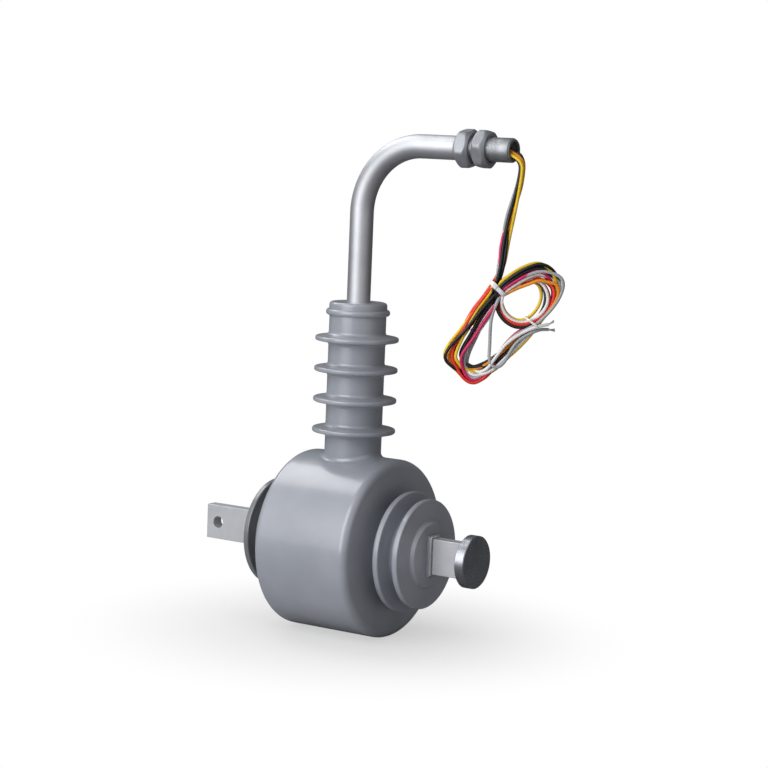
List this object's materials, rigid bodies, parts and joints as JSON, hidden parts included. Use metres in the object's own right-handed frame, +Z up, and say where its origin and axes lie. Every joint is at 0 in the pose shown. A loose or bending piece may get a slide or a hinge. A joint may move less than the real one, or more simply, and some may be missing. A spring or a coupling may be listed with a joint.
{
  "type": "outdoor instrument transformer",
  "caption": "Resin-cast outdoor current transformer: shedded round body on a flat through bar, ribbed neck, and a bent conduit whose free leads hang in a tied hank.",
  "frame": {"origin": "centre of the bolt hole in the rear end of the primary bar, in the middle of the bar's thickness", "axes": "+X along the primary bar from the bolt hole to the round pad; +Y along the bolt hole, away from the side that the picture shows; +Z up the neck and the conduit's upright"},
  "size_m": [0.4545, 0.202, 0.5741],
  "materials": {
    "cast_resin": "satin grey cast resin, rounded edges brighter",
    "tinned_bar": "tin-plated flat bar, satin, lightly handled",
    "tinned_pad": "tin-plated, turned faces",
    "sleeve_paper": "varnished paper, plain",
    "core_steel": "wound grain-oriented strip, plain",
    "core_tape": "woven tape, plain",
    "enamelled_wire": "enamelled copper wire, plain",
    "pressboard": "pressboard, plain",
    "cushion": "crepe and foam tape, plain",
    "outlet_plastic": "moulded plastic, plain",
    "conduit_steel": "galvanized and lightly polished, drawn along its length",
    "foot_steel": "plain steel",
    "nut_zinc": "zinc-plated, turned bevels brighter",
    "bush_plastic": "black moulded plastic",
    "lead_yellow": "soft satin insulation",
    "lead_amber": "soft satin insulation",
    "lead_black": "soft satin insulation",
    "lead_red": "soft satin insulation",
    "lead_grey": "soft satin insulation",
    "lead_white": "soft satin insulation",
    "lead_rose": "soft satin insulation",
    "hank_leads": null,
    "tie_nylon": "translucent natural nylon",
    "tinned_strands": "tinned copper strands"
  },
  "bodies": {
    "root": {"bare_end_grey": "tinned_strands", "bare_end_white": "tinned_strands", "conduit_end_bush": "bush_plastic", "conduit_foot_ring": "foot_steel", "conduit_tube": "conduit_steel", "inner_lead_amber": "lead_amber", "inner_lead_black_a": "lead_black", "inner_lead_black_b": "lead_black", "inner_lead_grey": "lead_grey", "inner_lead_red": "lead_red", "inner_lead_rose": "lead_rose", "inner_lead_white": "lead_white", "inner_lead_yellow": "lead_yellow", "inner_lock_nut": "nut_zinc", "lead_amber": "lead_amber", "lead_black_a": "lead_black", "lead_black_b": "lead_black", "lead_grey": "lead_grey", "lead_hank": "hank_leads", "lead_outlet_block": "outlet_plastic", "lead_red": "lead_red", "lead_rose": "lead_rose", "lead_white": "lead_white", "lead_yellow": "lead_yellow", "measuring_core": "core_steel", "measuring_core_wrap": "core_tape", "measuring_winding": "enamelled_wire", "outer_lock_nut": "nut_zinc", "primary_bar": "tinned_bar", "primary_sleeve": "sleeve_paper", "protection_core": "core_steel", "protection_core_wrap": "core_tape", "protection_winding": "enamelled_wire", "resin_casting": "cast_resin", "tail_grey": "lead_grey", "tail_white": "lead_white", "terminal_pad": "tinned_pad", "thin_tie": "tie_nylon", "wide_tie": "tie_nylon", "winding_cushion": "cushion", "winding_spacer": "pressboard"}
  },
  "joints": []
}
